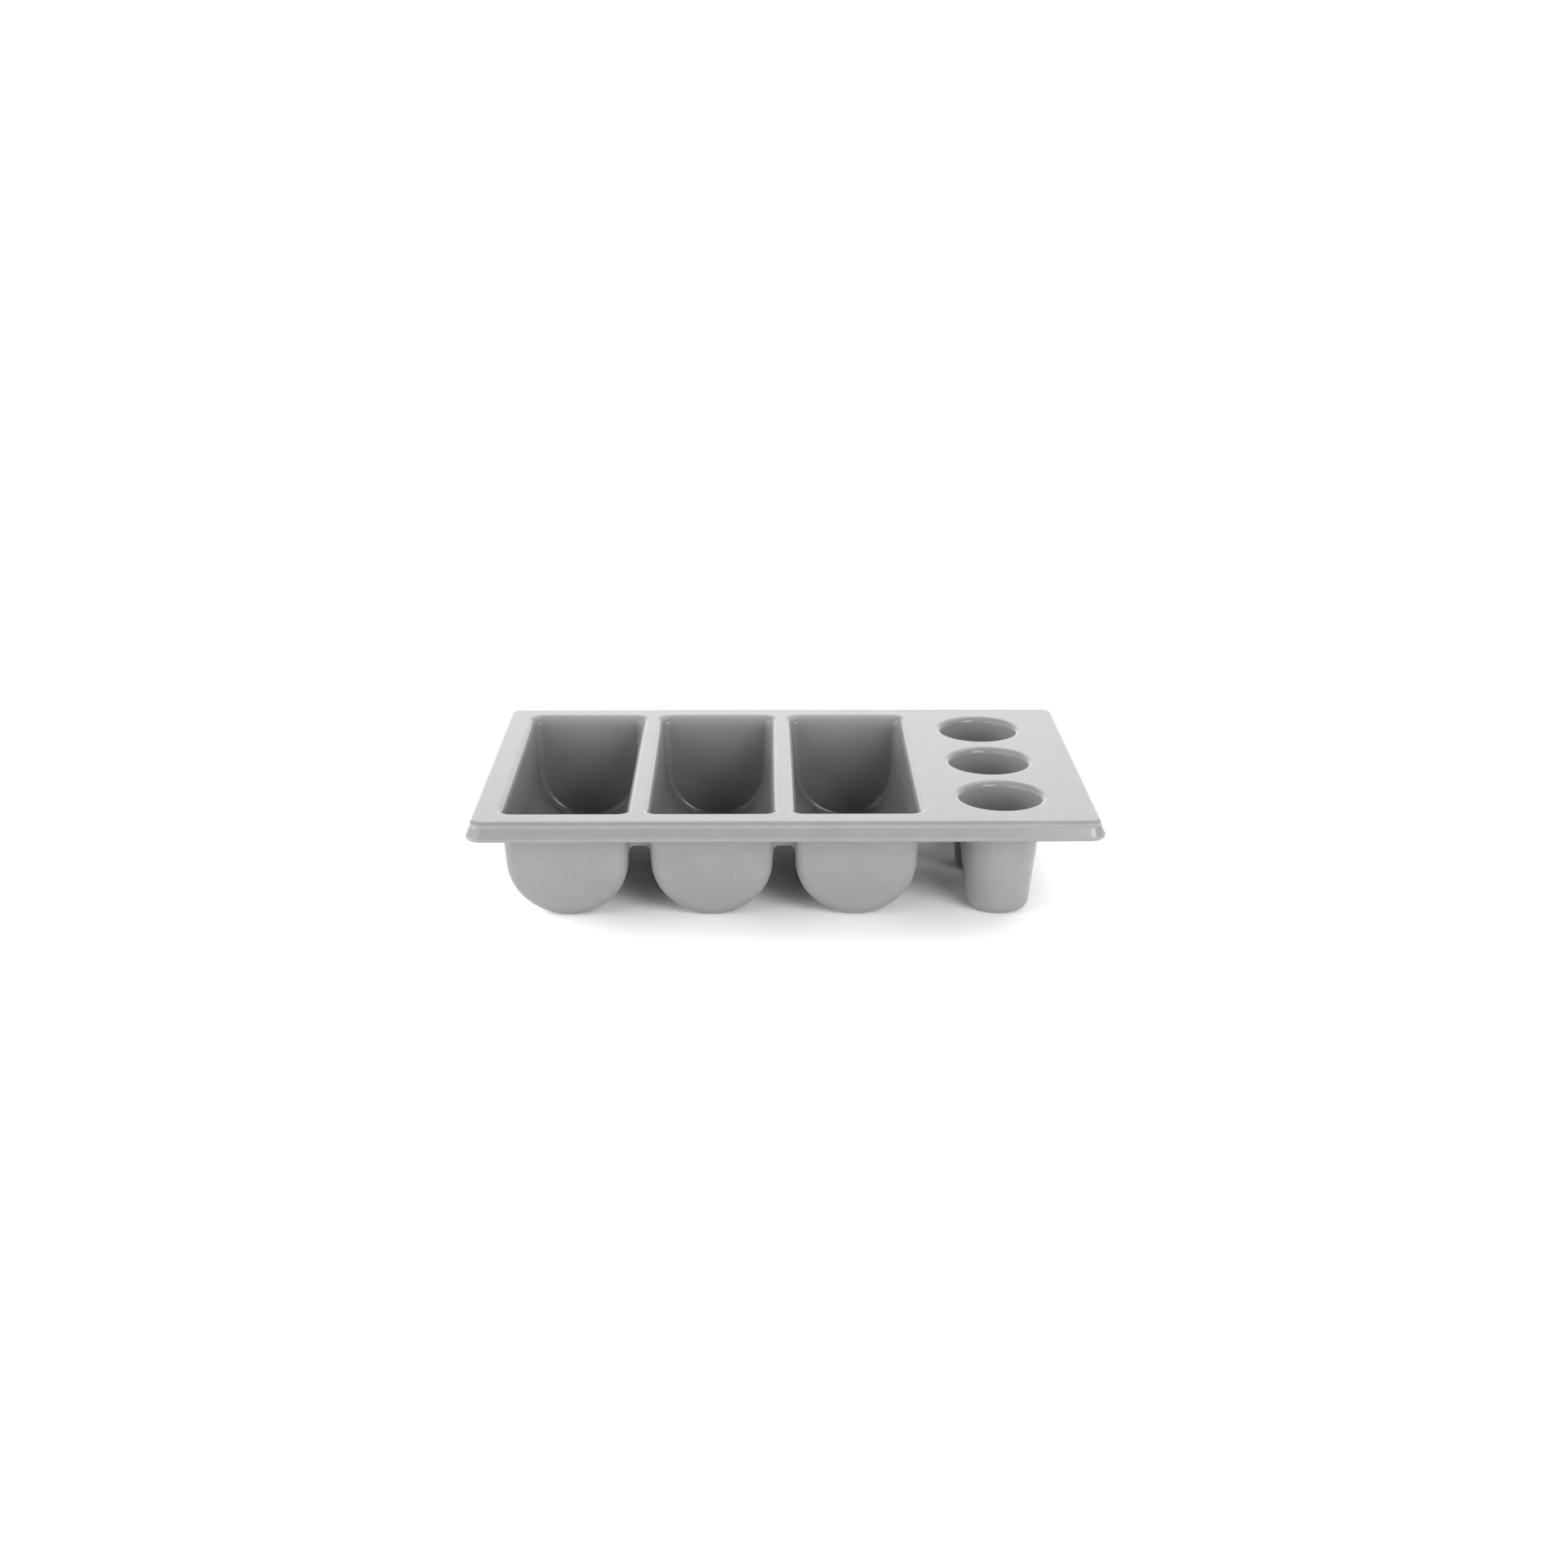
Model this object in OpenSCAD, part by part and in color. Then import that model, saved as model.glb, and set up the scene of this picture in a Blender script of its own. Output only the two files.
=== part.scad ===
// Cutlery box for a catering counter: a flat deck with a turned-down rim, three long
// round-bottomed troughs side by side and, on the right, three tapered cups in a row.
// The origin is on the standing plane, under the middle of the box. X runs along the box,
// Y from front to rear, Z up. All sizes are millimetres.

/* [Tray] */
// Overall length, left to right
tray_length = 530; // [500:1:600]
// Overall depth, front to rear
tray_depth = 325; // [310:1:400]
// Height from the standing plane to the top of the deck
tray_height = 100; // [90:1:140]
// Thickness of the moulded wall
wall = 2.5; // [2:0.1:3]
// Flat strip of deck that belongs to each mouth and to the rim
strip = 1.25; // [0.75:0.05:1.75]

/* [Rim] */
// Reach of the skirt past the crease of the deck
rim_reach = 7.5; // [7:0.1:9]
// Height of the skirt
rim_drop = 16.7; // [15:0.1:22]
// Radius of the round-over from deck to skirt
rim_round = 3.6; // [3.4:0.1:4.4]
// Depth under the deck at which the skirt starts to flare
rim_neck = 5; // [4.6:0.1:7]
// Thickness of the skirt at its lower edge
rim_foot = 4.6; // [4.2:0.1:5.4]
// Radius of the lower outer edge of the skirt
rim_bead = 3; // [2.2:0.1:3.6]
// Plan radius of the outer corners
corner_radius = 14; // [11:0.5:20]

/* [Troughs] */
// Deck from the crease to the trough mouths, at the left, front and rear
border = 15; // [10:0.5:22]
// Deck between two neighbouring trough mouths
divider = 6.5; // [4.5:0.5:12]
// Deck between the right trough and the cups
bay_land = 25.7; // [15:0.1:35]
// Width of the rolled lip along the sides of a mouth
lip_side = 7; // [5.5:0.1:9]
// Width of the rolled lip across the ends of a mouth
lip_end = 10; // [7:0.1:12]
// Depth of the rolled lip
lip_drop = 8.5; // [6:0.1:11]
// Lean of the side walls
side_draft = 2.6; // [1:0.1:4]
// Lean of the end walls
end_draft = 8; // [3:0.1:10]
// Inside radius of the upright corners and of the end edges
edge_radius = 6; // [4:0.5:9]
// Depth by which the round bottom is flattened to a foot
foot_flat = 0.25; // [0.15:0.05:0.6]

/* [Tie webs] */
// Depth of the arch crown under the deck
arch_drop = 37.4; // [28:0.1:42]
// Thickness of a web
web_wall = 2.5; // [1.5:0.1:4]
// Width of the web at the foot of its arch
web_leg = 0.3; // [0.2:0.1:1]
// Depth of a web behind the rounded ends of the troughs
web_recess = 5; // [0:0.5:12]
// Corner radius of the arch
arch_round = 5; // [3:0.1:5.5]

/* [Cups] */
// Inside diameter of the cone at the deck, without its lip
cup_diameter = 70; // [60:0.5:76]
// Lean of the cup wall
cup_draft = 6.25; // [3:0.05:8]
// Radius of the rolled lip of a cup
cup_lip = 5.5; // [4:0.1:7]
// Radius of the outer bottom edge
cup_round = 8; // [5:0.5:12]
// Deck from the crease to the front and rear cup mouths
cup_margin = 22.1; // [16:0.1:26]
// Deck between the cups and the crease on the right
cup_land = 33.8; // [20:0.1:45]

/* [Hidden] */

$fn = 96;
// Steps of each arc in the section of the rim
arc_steps = 8;
plastic = "lightgray";
trough_color = "silver";
cup_color = "darkgray";
web_color = "gray";

// Half sizes of the flat deck, up to the crease where the rim turns down
crease_x = tray_length / 2 - rim_reach;
crease_y = tray_depth / 2 - rim_reach;
crease_radius = corner_radius - rim_reach;

// Half lengths of the straight rails of the rim
rail_x = crease_x - crease_radius;
rail_y = crease_y - crease_radius;

// Cups: radius at which the lip leaves the deck, and their places
cup_mouth = cup_diameter / 2 + cup_lip * tan((90 - cup_draft) / 2);
cup_pitch = crease_y - cup_margin - cup_mouth;
cup_x = crease_x - cup_land - cup_mouth;

// Troughs: the mouth is where the lip leaves the deck
trough_run = 2 * crease_x - border - 2 * divider - bay_land - 2 * cup_mouth - cup_land;
mouth_x = trough_run / 6;
mouth_y = crease_y - border;
mouth_radius = edge_radius + (lip_side + lip_end) / 2;
trough_pitch = 2 * mouth_x + divider;
left_x = -crease_x + border + mouth_x;

// The lip turns down until it lies in line with the walls
lip_turn = 82;
lip_foot_z = tray_height - lip_drop * (1 - cos(lip_turn));
wall_top_x = mouth_x - lip_side * sin(lip_turn);
wall_top_y = mouth_y - lip_end * sin(lip_turn);

// The round bottom is tangent to both side walls and flattened at the standing plane
u_radius = (wall_top_x - (lip_foot_z - wall + foot_flat) * tan(side_draft))
    / (1 / cos(side_draft) - tan(side_draft));
u_axis = u_radius + wall - foot_flat;
u_start = side_draft;

// Steps of the lofted trough: round a corner, down the lip, down the round bottom
corner_steps = 5;
lip_steps = 5;
u_steps = 12;

// Rounded rectangle with the given half sizes
module rounded_plate(half_x, half_y, radius) {
    square([2 * half_x, 2 * (half_y - radius)], center = true);
    square([2 * (half_x - radius), 2 * half_y], center = true);
    for (sx = [-1, 1], sy = [-1, 1])
        translate([sx * (half_x - radius), sy * (half_y - radius)])
            circle(radius);
}

// Flat deck between the rim and the mouths
module deck_panel() {
    color(plastic)
        translate([0, 0, tray_height - wall])
            linear_extrude(wall)
                difference() {
                    rounded_plate(crease_x - strip, crease_y - strip, crease_radius - strip);
                    for (i = [0 : 2]) {
                        translate([left_x + i * trough_pitch, 0])
                            rounded_plate(mouth_x + strip, mouth_y + strip, mouth_radius + strip);
                        translate([cup_x, (i - 1) * cup_pitch])
                            circle(cup_mouth + strip);
                    }
                }
}

// Section of the rim: x is measured outwards from the crease, y upwards from the deck
bead_centre = [rim_reach - rim_bead, rim_bead - rim_drop];
neck_to_bead = bead_centre - [rim_round, -rim_neck];
flare_angle = atan2(neck_to_bead.y, neck_to_bead.x) + asin(rim_bead / norm(neck_to_bead));

function arc(centre, radius, from, to) = [
    for (i = [0 : arc_steps])
        let (a = from + (to - from) * i / arc_steps)
            centre + radius * [cos(a), sin(a)]
];

// From the deck over the round-over, down the neck and the flare, round the lower edge
// and back up the underside
module rim_section() {
    round_centre = [0, -rim_round];
    polygon(concat(
        [[-strip, 0]],
        arc(round_centre, rim_round, 90, 0),
        [[rim_round, -rim_neck]],
        arc(bead_centre, rim_bead, flare_angle + 90, -90),
        [[rim_reach - rim_foot, -rim_drop], [rim_round - wall, -rim_neck]],
        arc(round_centre, rim_round - wall, 0, 90),
        [[-strip, -wall]]
    ));
}

// Straight rail of the rim, centred on the side that faces -Y
module rim_rail(run, crease) {
    color(plastic)
        translate([-run, -crease, tray_height])
            rotate([90, 0, 90])
                linear_extrude(2 * run)
                    mirror([1, 0])
                        rim_section();
}

// Corner of the rim, turned about the upright axis of the corner
module rim_corner(side_x, side_y, start) {
    color(plastic)
        translate([side_x * rail_x, side_y * rail_y, tray_height])
            rotate([0, 0, start])
                rotate_extrude(angle = 90)
                    translate([crease_radius, 0])
                        rim_section();
}

module front_rim() {
    rim_rail(rail_x, crease_y);
}

module rear_rim() {
    rotate([0, 0, 180])
        rim_rail(rail_x, crease_y);
}

module left_rim() {
    rotate([0, 0, -90])
        rim_rail(rail_y, crease_x);
}

module right_rim() {
    rotate([0, 0, 90])
        rim_rail(rail_y, crease_x);
}

module front_left_corner() {
    rim_corner(-1, -1, 180);
}

module front_right_corner() {
    rim_corner(1, -1, 270);
}

module rear_left_corner() {
    rim_corner(-1, 1, 90);
}

module rear_right_corner() {
    rim_corner(1, 1, 0);
}

// Half length of a trough at height z, inside or, with skin = wall, outside
function end_at(z, skin) =
    wall_top_y - (lip_foot_z - z) * tan(end_draft) + skin / cos(end_draft);

// Angle of a step round a corner. The last step stops short of the middle of the end
function corner_angle(i, reach) = reach * i / (corner_steps + 0.5);

// A quarter of a level outline: a rounded rectangle
function box_quarter(half_x, half_y, radius) = [
    for (i = [0 : corner_steps])
        let (a = corner_angle(i, 90))
            [half_x - radius * (1 - cos(a)), half_y - radius * (1 - sin(a))]
];

// A quarter of a level outline through the round bottom, with its rounded end edge
function u_quarter(turn, skin) =
    let (
        r = u_radius + skin,
        e = edge_radius + skin,
        d = r * sin(turn),
        half_y = end_at(u_axis - d, skin),
        reach = d > r - e ? acos((d - r + e) / e) : 90
    ) [
        for (i = [0 : corner_steps])
            let (a = corner_angle(i, reach), rho = r - e * (1 - cos(a)))
                [sqrt(rho * rho - d * d), half_y - e * (1 - sin(a))]
    ];

// A closed outline at height z from its quarter
function loop(quarter, z) =
    let (back = [for (i = [corner_steps : -1 : 0]) quarter[i]]) concat(
        [for (p = quarter) [p.x, p.y, z]],
        [for (p = back) [-p.x, p.y, z]],
        [for (p = quarter) [-p.x, -p.y, z]],
        [for (p = back) [p.x, -p.y, z]]
    );

// Turn of the round bottom at which the flat of the foot begins
function u_end(skin) = asin((u_axis - wall + skin) / (u_radius + skin));

// Round bottom, from the flat upwards
function u_loops(skin) = [
    for (k = [u_steps : -1 : 0])
        let (turn = u_start + (u_end(skin) - u_start) * k / u_steps)
            loop(u_quarter(turn, skin), u_axis - (u_radius + skin) * sin(turn))
];

// Rolled lip, from its foot up to the deck. The underside is nearer to the lip's own centre
function lip_half(turn, skin) = mouth_x - (lip_side - skin) * sin(turn);
function lip_height(turn, skin) = tray_height - lip_drop + (lip_drop - skin) * cos(turn);
function lip_loops(skin) = [
    for (k = [lip_steps : -1 : 0])
        let (turn = lip_turn * k / lip_steps)
            loop(
                box_quarter(
                    lip_half(turn, skin),
                    mouth_y - (lip_end - skin) * sin(turn),
                    mouth_radius - (mouth_radius - edge_radius - skin) * sin(turn)
                ),
                lip_height(turn, skin)
            )
];

// Flat strip round the mouth
function strip_loop(z) =
    loop(box_quarter(mouth_x + strip, mouth_y + strip, mouth_radius + strip), z);

function reversed(list) = [for (k = [len(list) - 1 : -1 : 0]) list[k]];

// Closed skin through a stack of outlines with equally many points
module loft(loops) {
    n = len(loops[0]);
    last = len(loops) - 1;
    polyhedron(
        points = [for (l = loops) each l],
        faces = concat(
            [[for (j = [n - 1 : -1 : 0]) j]],
            [
                for (k = [0 : last - 1], j = [0 : n - 1])
                    let (a = k * n, b = a + n, next = (j + 1) % n)
                        each [[a + j, a + next, b + next], [a + j, b + next, b + j]]
            ],
            [[for (j = [0 : n - 1]) last * n + j]]
        )
    );
}

// Trough with its rolled lip: up the inside, over the lip and down the outside
module trough(index) {
    color(trough_color)
        translate([left_x + index * trough_pitch, 0, 0])
            loft(concat(
                u_loops(0),
                lip_loops(0),
                [strip_loop(tray_height), strip_loop(tray_height - wall)],
                reversed(lip_loops(wall)),
                reversed(u_loops(wall))
            ));
}

module left_trough() {
    trough(0);
}

module centre_trough() {
    trough(1);
}

module right_trough() {
    trough(2);
}

// Tie web: fills the gap between two troughs under the deck, over an arch
arch_crown = tray_height - arch_drop;
web_foot = arch_crown - arch_round;
web_front = end_at(web_foot, wall) - edge_radius - wall - web_recess;
gap_edge = [
    for (k = [0 : lip_steps])
        let (turn = lip_turn * k / lip_steps)
            [trough_pitch / 2 - lip_half(turn, wall), lip_height(turn, wall)]
];
// The gap widens down the leaning walls, as far as the round bottoms
gap_top = gap_edge[lip_steps];
wall_foot = [
    trough_pitch / 2 - (u_radius + wall) * cos(u_start),
    u_axis - (u_radius + wall) * sin(u_start)
];
foot_share = (gap_top.y - web_foot) / (gap_top.y - wall_foot.y);
gap_foot = gap_top.x + (wall_foot.x - gap_top.x) * foot_share;
arch_half = gap_foot - web_leg;

module web_outline() {
    half = concat(
        gap_edge,
        [[gap_foot, web_foot]],
        arc([arch_half - arch_round, web_foot], arch_round, 0, 90)
    );
    polygon(concat(half, [for (p = reversed(half)) [-p.x, p.y]]));
}

module tie_web(index, front_y) {
    color(web_color)
        translate([left_x + (index + 0.5) * trough_pitch, front_y + web_wall, 0])
            rotate([90, 0, 0])
                linear_extrude(web_wall)
                    web_outline();
}

module front_left_web() {
    tie_web(0, -web_front);
}

module front_right_web() {
    tie_web(1, -web_front);
}

module rear_left_web() {
    tie_web(0, web_front - web_wall);
}

module rear_right_web() {
    tie_web(1, web_front - web_wall);
}

// Cup: half section, x outwards from the cup's axis and y up from the standing plane
lip_centre = [cup_mouth, tray_height - cup_lip];
lip_normal = [-cos(cup_draft), sin(cup_draft)];
wall_inner_top = lip_centre + cup_lip * lip_normal;
wall_outer_top = lip_centre + (cup_lip - wall) * lip_normal;

// Filled outline of the cup below the lip, with a rounded bottom edge
module cup_body(top, floor_z, radius) {
    round_centre = [
        top.x - (top.y - floor_z - radius) * tan(cup_draft) - radius / cos(cup_draft),
        floor_z + radius
    ];
    polygon([
        [0, floor_z],
        [round_centre.x, floor_z],
        round_centre - radius * lip_normal,
        top,
        [0, top.y]
    ]);
    translate(round_centre)
        circle(radius);
}

module cup_section() {
    difference() {
        cup_body(wall_outer_top, 0, cup_round);
        cup_body(wall_inner_top, wall, cup_round - wall);
        polygon([wall_outer_top, wall_inner_top, [0, wall_inner_top.y], [0, wall_outer_top.y]]);
    }
    polygon([wall_outer_top, wall_inner_top, wall_inner_top - [0, cup_lip]]);
    intersection() {
        translate(lip_centre)
            difference() {
                circle(cup_lip);
                circle(cup_lip - wall);
            }
        polygon([
            lip_centre,
            lip_centre + 2 * cup_lip * lip_normal,
            lip_centre + 2 * cup_lip * [-1, 1],
            lip_centre + 2 * cup_lip * [0, 1]
        ]);
    }
    translate([cup_mouth, tray_height - wall])
        square([strip, wall]);
}

module cup(index) {
    color(cup_color)
        translate([cup_x, index * cup_pitch, 0])
            rotate_extrude()
                cup_section();
}

module front_cup() {
    cup(-1);
}

module middle_cup() {
    cup(0);
}

module rear_cup() {
    cup(1);
}

deck_panel();
front_rim();
rear_rim();
left_rim();
right_rim();
front_left_corner();
front_right_corner();
rear_left_corner();
rear_right_corner();
left_trough();
centre_trough();
right_trough();
front_cup();
middle_cup();
rear_cup();
front_left_web();
front_right_web();
rear_left_web();
rear_right_web();
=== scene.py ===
"""Cutlery box for a catering counter: a moulded tray of satin grey plastic on a pale floor.

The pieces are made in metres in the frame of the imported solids. Each piece stands for the
solid of the same name and meets its neighbours in the same edges.
"""
import math
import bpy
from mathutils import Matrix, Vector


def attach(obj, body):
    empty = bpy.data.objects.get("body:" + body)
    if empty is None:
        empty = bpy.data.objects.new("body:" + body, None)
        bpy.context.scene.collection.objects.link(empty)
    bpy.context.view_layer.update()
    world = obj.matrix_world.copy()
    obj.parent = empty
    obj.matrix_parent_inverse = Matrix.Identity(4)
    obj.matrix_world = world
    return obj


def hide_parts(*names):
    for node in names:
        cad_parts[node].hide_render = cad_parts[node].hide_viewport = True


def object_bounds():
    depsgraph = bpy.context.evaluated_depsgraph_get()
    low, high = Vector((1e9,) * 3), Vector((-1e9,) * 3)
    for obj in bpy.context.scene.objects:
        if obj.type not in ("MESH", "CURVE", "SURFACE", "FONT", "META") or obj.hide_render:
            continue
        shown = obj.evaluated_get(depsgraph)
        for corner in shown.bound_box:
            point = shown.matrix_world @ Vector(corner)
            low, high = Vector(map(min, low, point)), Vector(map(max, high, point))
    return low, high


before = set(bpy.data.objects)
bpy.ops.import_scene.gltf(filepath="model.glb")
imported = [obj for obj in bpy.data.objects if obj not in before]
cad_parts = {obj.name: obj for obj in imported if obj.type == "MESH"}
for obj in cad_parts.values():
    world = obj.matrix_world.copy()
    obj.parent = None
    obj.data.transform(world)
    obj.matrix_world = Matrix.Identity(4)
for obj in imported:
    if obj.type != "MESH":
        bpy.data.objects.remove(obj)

from types import SimpleNamespace

import bmesh
import bpy
import numpy as np
from bpy.props import FloatProperty, FloatVectorProperty, PointerProperty
from mathutils import Matrix, Vector

bl_info = {
    "name": "Cutlery box",
    "version": (1, 0, 0),
    "blender": (4, 5, 0),
    "location": "View3D > Sidebar > Cutlery box",
    "description": "Builds a moulded cutlery box with troughs and cups in a plain studio",
    "category": "Mesh",
}

CAD_LOW, CAD_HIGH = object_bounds()
CAD_SIZE = CAD_HIGH - CAD_LOW
BODY = "root"

# Steps of the curves
CORNER_STEPS = 14
LIP_STEPS = 14
BOTTOM_STEPS = 44
ARC_STEPS = 12
ROUND_STEPS = 128
EDGE_STEPS = 6
# Points closer than a tenth of a micron are one point
WELD_DIGITS = 7
# Share of a trough's upper wall in which the lip runs into it
LIP_BLEND = 0.05
UP = np.array((0.0, 0.0, 1.0))
# Turns a point of a section to its other side
MIRROR = np.array((-1.0, 1.0))


def distance(name, description, default):
    """A length in metres for the sidebar."""
    return FloatProperty(
        name=name, description=description, default=default, min=0.0,
        precision=5, subtype="DISTANCE", unit="LENGTH",
    )


def angle(name, description, degrees):
    """An angle for the sidebar."""
    return FloatProperty(
        name=name, description=description, default=math.radians(degrees),
        precision=3, subtype="ANGLE", unit="ROTATION",
    )


def colour(name, description, default):
    """A colour for the sidebar."""
    return FloatVectorProperty(
        name=name, description=description, default=default, size=3,
        min=0.0, max=1.0, subtype="COLOR",
    )


def amount(name, description, default):
    """A share or a brightness for the sidebar."""
    return FloatProperty(
        name=name, description=description, default=default, min=0.0, soft_max=1.0,
        precision=4, subtype="FACTOR",
    )


class TRAY_PG_sizes(bpy.types.PropertyGroup):
    """Sizes of the moulded tray"""

    length: distance("Length", "Overall length, left to right", CAD_SIZE.x)
    depth: distance("Depth", "Overall depth, front to rear", CAD_SIZE.y)
    height: distance("Height", "Height of the deck over the standing plane", CAD_SIZE.z)
    wall: distance("Wall", "Thickness of the moulded wall", 0.0025)
    strip: distance("Strip", "Flat deck that belongs to each mouth and to the rim", 0.00125)
    rim_reach: distance("Rim reach", "Reach of the skirt past the crease of the deck", 0.0075)
    rim_drop: distance("Rim drop", "Height of the skirt", 0.0167)
    rim_round: distance("Rim round", "Radius of the round-over from deck to skirt", 0.0036)
    rim_neck: distance("Rim neck", "Depth under the deck at which the skirt flares", 0.005)
    rim_hollow: distance("Rim hollow", "Radius of the hollow between neck and flare", 0.004)
    rim_foot: distance("Rim foot", "Thickness of the skirt at its lower edge", 0.0046)
    rim_bead: distance("Rim bead", "Radius of the lower outer edge of the skirt", 0.003)
    corner_radius: distance("Corner radius", "Plan radius of the outer corners", 0.014)
    border: distance("Border", "Deck from the crease to the trough mouths", 0.015)
    divider: distance("Divider", "Deck between two trough mouths", 0.0065)
    bay_land: distance("Bay land", "Deck between the right trough and the cups", 0.0257)
    lip_side: distance("Lip side", "Width of the rolled lip along a mouth", 0.007)
    lip_end: distance("Lip end", "Width of the rolled lip across a mouth's ends", 0.010)
    lip_drop: distance("Lip drop", "Depth of the rolled lip", 0.0085)
    lip_turn: angle("Lip turn", "Turn of the rolled lip from the deck to the wall", 82.0)
    side_draft: angle("Side draft", "Lean of the side walls", 2.6)
    end_draft: angle("End draft", "Lean of the end walls", 8.0)
    edge_radius: distance("Edge radius", "Inside radius of the corners and end edges", 0.006)
    foot_flat: distance("Foot flat", "Depth by which the round bottom is flattened", 0.00025)
    arch_drop: distance("Arch drop", "Depth of the arch crown under the deck", 0.0374)
    web_wall: distance("Web wall", "Thickness of a tie web", 0.0025)
    web_leg: distance("Web leg", "Width of the web at the foot of its arch", 0.0003)
    web_recess: distance("Web recess", "Depth of a web behind the troughs' rounded ends", 0.005)
    web_edge: distance("Web edge", "Radius of the rounded edge of the arch", 0.0009)
    arch_round: distance("Arch round", "Corner radius of the arch", 0.005)
    cup_diameter: distance("Cup diameter", "Inside diameter of the cone at the deck", 0.070)
    cup_draft: angle("Cup draft", "Lean of the cup wall", 6.25)
    cup_lip: distance("Cup lip", "Radius of the rolled lip of a cup", 0.0055)
    cup_round: distance("Cup round", "Radius of the outer bottom edge of a cup", 0.008)
    cup_margin: distance("Cup margin", "Deck from the crease to the outer cups", 0.0221)
    cup_land: distance("Cup land", "Deck between the cups and the right crease", 0.0338)


class TRAY_PG_plastic(bpy.types.PropertyGroup):
    """Looks of the moulded plastic"""

    grey: colour("Grey", "Colour of the plastic", (0.167, 0.167, 0.167))
    pale: colour("Pale", "Colour of its paler clouds and scuffs", (0.177, 0.177, 0.178))
    speck: colour("Speck", "Colour of the stray dark specks", (0.085, 0.085, 0.085))
    gloss_low: amount("Least roughness", "Roughness of the smoothest places", 0.18)
    gloss_high: amount("Most roughness", "Roughness of the scuffed places", 0.26)
    grain: distance("Grain", "Height of the fine mould texture", 0.000004)
    ripple: distance("Ripple", "Height of the slow waves in the walls", 0.00006)


class TRAY_PG_studio(bpy.types.PropertyGroup):
    """Floor, light and camera"""

    floor: colour("Floor", "Colour of the floor", (0.91, 0.91, 0.91))
    floor_pale: colour("Floor pale", "Colour of the paler fibres of the floor", (0.95, 0.95, 0.95))
    floor_reach: distance("Floor reach", "Radius of the round floor", 2.5)
    backdrop: amount("Backdrop", "Brightness of the backdrop behind the box", 0.95)
    horizon: amount("Horizon", "Brightness of the room near the floor, all round", 1.0)
    glow: amount("Glows", "Share of the soft glows on the walls of the room", 1.0)
    boxes: amount("Soft boxes", "Share of the soft boxes", 1.0)
    lens: FloatProperty(
        name="Lens", description="Focal length of the camera in millimetres",
        default=45.31, min=1.0, precision=2, unit="CAMERA",
    )
    eye: FloatVectorProperty(
        name="Camera place", description="Where the camera stands",
        default=(-0.0212, -1.6755, 0.6652), size=3, precision=4,
        subtype="TRANSLATION", unit="LENGTH",
    )
    down: angle("Camera pitch", "Angle by which the camera looks down", 19.314)
    yaw: angle("Camera yaw", "Angle by which the camera looks to the right", 0.735)
    roll: angle("Camera roll", "Turn of the camera about its line of sight", 0.125)


def plan(sizes):
    """Places and radii that follow from the sizes."""
    p = SimpleNamespace(**{key: getattr(sizes, key) for key in sizes.__annotations__})
    p.crease_x = p.length / 2 - p.rim_reach
    p.crease_y = p.depth / 2 - p.rim_reach
    p.crease_radius = p.corner_radius - p.rim_reach
    p.rail_x = p.crease_x - p.crease_radius
    p.rail_y = p.crease_y - p.crease_radius
    lip_half_turn = (math.pi / 2 - p.cup_draft) / 2
    p.cup_mouth = p.cup_diameter / 2 + p.cup_lip * math.tan(lip_half_turn)
    p.cup_pitch = p.crease_y - p.cup_margin - p.cup_mouth
    p.cup_x = p.crease_x - p.cup_land - p.cup_mouth
    bay = p.bay_land + 2 * p.cup_mouth + p.cup_land
    p.mouth_x = (2 * p.crease_x - p.border - 2 * p.divider - bay) / 6
    p.mouth_y = p.crease_y - p.border
    p.mouth_radius = p.edge_radius + (p.lip_side + p.lip_end) / 2
    p.pitch = 2 * p.mouth_x + p.divider
    p.left_x = -p.crease_x + p.border + p.mouth_x
    p.lip_foot = p.height - p.lip_drop * (1 - math.cos(p.lip_turn))
    p.wall_top_x = p.mouth_x - p.lip_side * math.sin(p.lip_turn)
    p.wall_top_y = p.mouth_y - p.lip_end * math.sin(p.lip_turn)
    lean = math.tan(p.side_draft)
    p.bottom_radius = (p.wall_top_x - (p.lip_foot - p.wall + p.foot_flat) * lean) / (
        1 / math.cos(p.side_draft) - lean
    )
    p.bottom_axis = p.bottom_radius + p.wall - p.foot_flat
    return p


def unit(vectors):
    """Vectors scaled to length one."""
    return vectors / np.linalg.norm(vectors, axis=-1, keepdims=True)


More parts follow.
